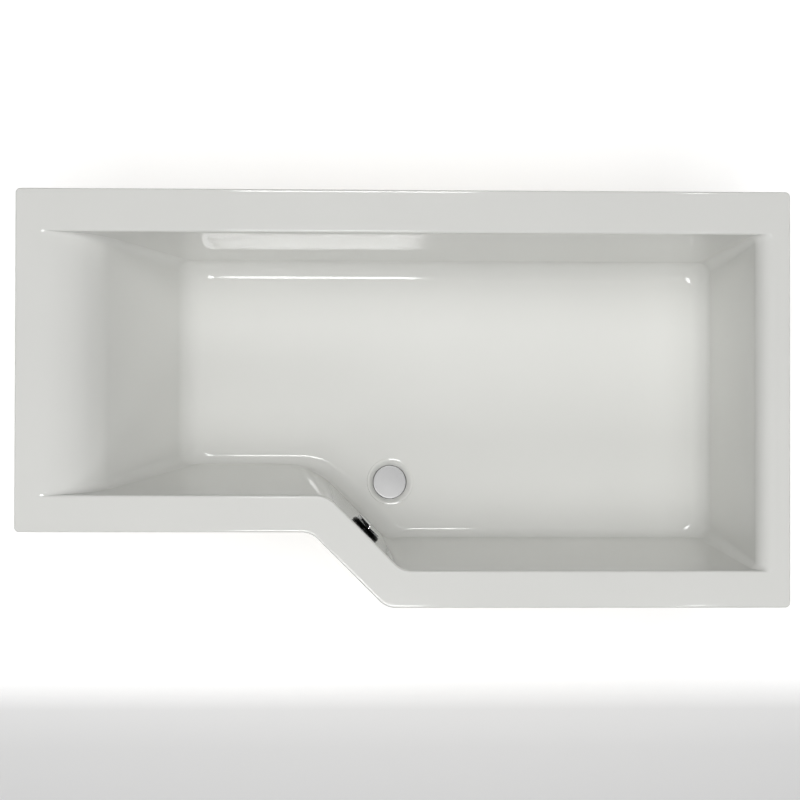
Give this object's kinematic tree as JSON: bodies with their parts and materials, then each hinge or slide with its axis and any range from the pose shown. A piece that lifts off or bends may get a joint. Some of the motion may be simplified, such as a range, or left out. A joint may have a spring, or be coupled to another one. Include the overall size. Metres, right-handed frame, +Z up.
{
  "type": "p shaped shower bath",
  "caption": "Acrylic shower bath, narrow at the bathing end and wide at the showering end behind a 45 degree splay, with legs, pop-up waste, overflow and trap.",
  "frame": {"origin": "middle of the bath's footprint on the floor, under the feet", "axes": "+X along the bath towards the wide showering end, +Y towards the wall side, +Z up"},
  "size_m": [1.585, 0.854, 0.57],
  "materials": {
    "acrylic": "gloss",
    "fibreglass": "rough",
    "chipboard": "raw",
    "timber": "raw",
    "zinc_steel": "zinc plated",
    "black_plastic": "matte",
    "white_plastic": "satin",
    "hose_plastic": "satin",
    "chrome": "polished",
    "satin_chrome": "satin",
    "rubber": "matte",
    "brass": "machined"
  },
  "bodies": {
    "bath": {"bath_shell": "acrylic", "fibreglass_backing": "fibreglass", "baseboard": "chipboard", "batten_left": "timber", "batten_front_narrow": "timber", "batten_splay": "timber", "batten_front_wide": "timber", "batten_right": "timber", "batten_back": "timber", "leg_rail_left": "zinc_steel", "leg_rail_right": "zinc_steel", "centre_leg_plate": "zinc_steel", "leg_lock_nuts": "zinc_steel", "rail_screws": "zinc_steel", "centre_plate_screws": "zinc_steel", "wall_bracket_left": "zinc_steel", "wall_bracket_right": "zinc_steel", "bracket_screws": "zinc_steel", "waste_flange": "chrome", "stem_guide": "white_plastic", "waste_upper_seal": "rubber", "waste_lower_seal": "rubber", "waste_body": "white_plastic", "lever_pin": "zinc_steel", "trap_inlet_seal": "rubber", "trap_inlet_nut": "white_plastic", "trap_body": "white_plastic", "trap_cleaning_cap": "white_plastic", "trap_outlet_seal": "rubber", "trap_outlet_nut": "white_plastic", "overflow_bezel": "chrome", "overflow_gasket": "rubber", "overflow_body": "white_plastic", "overflow_screws": "zinc_steel", "overflow_hose": "hose_plastic", "hose_nut_upper": "black_plastic", "hose_nut_lower": "black_plastic", "control_cable": "black_plastic"},
    "knob": {"overflow_knob": "chrome", "knob_spindle": "brass"},
    "plug": {"plug_cap": "satin_chrome", "plug_seal": "rubber", "plug_stem": "brass"},
    "lever": {"lift_lever": "brass"},
    "foot_front_left": {"foot_1": "black_plastic", "leg_stud_1": "zinc_steel"},
    "foot_back_left": {"foot_2": "black_plastic", "leg_stud_2": "zinc_steel"},
    "foot_front_right": {"foot_3": "black_plastic", "leg_stud_3": "zinc_steel"},
    "foot_back_right": {"foot_4": "black_plastic", "leg_stud_4": "zinc_steel"},
    "foot_centre": {"foot_5": "black_plastic", "leg_stud_5": "zinc_steel"}
  },
  "joints": [
    {"name": "knob_turn", "type": "hinge", "parent": "bath", "child": "knob", "pos_m": [-0.08056, -0.2706, 0.508], "axis": [0.7063, 0.7063, 0.0488], "range_deg": [0, 90]},
    {"name": "plug_lift", "type": "slide", "parent": "bath", "child": "plug", "axis": [0, 0, 1], "range_m": [0, 0.009]},
    {"name": "lever_swing", "type": "hinge", "parent": "bath", "child": "lever", "pos_m": [-0.0474, -0.17505, 0.1352], "axis": [-0.1331, -0.9911, 0], "range_deg": [0, 17.25]},
    {"name": "foot_front_left_screw", "type": "slide", "parent": "bath", "child": "foot_front_left", "axis": [0, 0, -1], "range_m": [-0.015, 0.035]},
    {"name": "foot_back_left_screw", "type": "slide", "parent": "bath", "child": "foot_back_left", "axis": [0, 0, -1], "range_m": [-0.015, 0.035]},
    {"name": "foot_front_right_screw", "type": "slide", "parent": "bath", "child": "foot_front_right", "axis": [0, 0, -1], "range_m": [-0.015, 0.035]},
    {"name": "foot_back_right_screw", "type": "slide", "parent": "bath", "child": "foot_back_right", "axis": [0, 0, -1], "range_m": [-0.015, 0.035]},
    {"name": "foot_centre_screw", "type": "slide", "parent": "bath", "child": "foot_centre", "axis": [0, 0, -1], "range_m": [-0.01, 0.02]}
  ],
  "couplings": [
    {"joint": "plug_lift", "follows": "knob_turn", "m_per_rad": 0.0057295},
    {"joint": "lever_swing", "follows": "knob_turn", "ratio": 0.19166}
  ]
}
